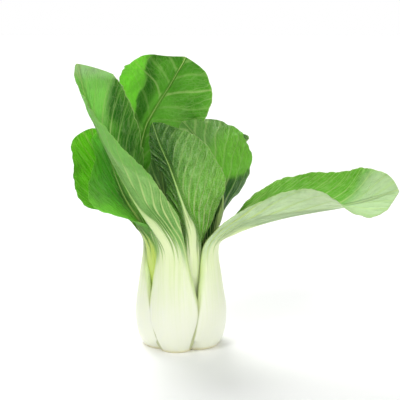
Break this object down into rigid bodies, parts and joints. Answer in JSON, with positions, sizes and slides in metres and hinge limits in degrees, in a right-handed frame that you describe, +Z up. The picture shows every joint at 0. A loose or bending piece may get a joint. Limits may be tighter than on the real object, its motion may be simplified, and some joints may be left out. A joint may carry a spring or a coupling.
{
  "type": "bok choy head",
  "caption": "Head of bok choy: thick white stalks nested in a bulb, green waved blades above, standing on its flat cut base.",
  "frame": {"origin": "middle of the flat cut base, on the surface that the head stands on", "axes": "+Z up along the bulb's axis, +X towards the long right leaf, -Y towards the front leaf"},
  "size_m": [0.2132, 0.1295, 0.1994],
  "materials": {
    "cut_stem": "matte",
    "white_stalk": "gloss",
    "inner_stalk": "gloss",
    "green_blade": "satin",
    "young_leaf": "satin"
  },
  "bodies": {
    "root": {"stem_base": "cut_stem", "front_leaf_stalk": "white_stalk", "front_leaf_blade": "green_blade", "right_leaf_stalk": "white_stalk", "right_leaf_blade": "green_blade", "left_leaf_stalk": "white_stalk", "left_leaf_blade": "green_blade", "back_left_leaf_stalk": "white_stalk", "back_left_leaf_blade": "green_blade", "back_right_leaf_stalk": "white_stalk", "back_right_leaf_blade": "green_blade", "front_right_leaf_stalk": "inner_stalk", "front_right_leaf_blade": "green_blade", "front_left_leaf_stalk": "inner_stalk", "front_left_leaf_blade": "green_blade", "right_inner_leaf_stalk": "inner_stalk", "right_inner_leaf_blade": "green_blade", "left_inner_leaf_stalk": "inner_stalk", "left_inner_leaf_blade": "green_blade", "back_inner_leaf_stalk": "inner_stalk", "back_inner_leaf_blade": "green_blade", "inner_front_leaf_stalk": "inner_stalk", "inner_front_leaf_blade": "green_blade", "inner_right_leaf_stalk": "inner_stalk", "inner_right_leaf_blade": "green_blade", "inner_left_leaf_stalk": "inner_stalk", "inner_left_leaf_blade": "green_blade", "heart": "young_leaf"}
  },
  "joints": []
}
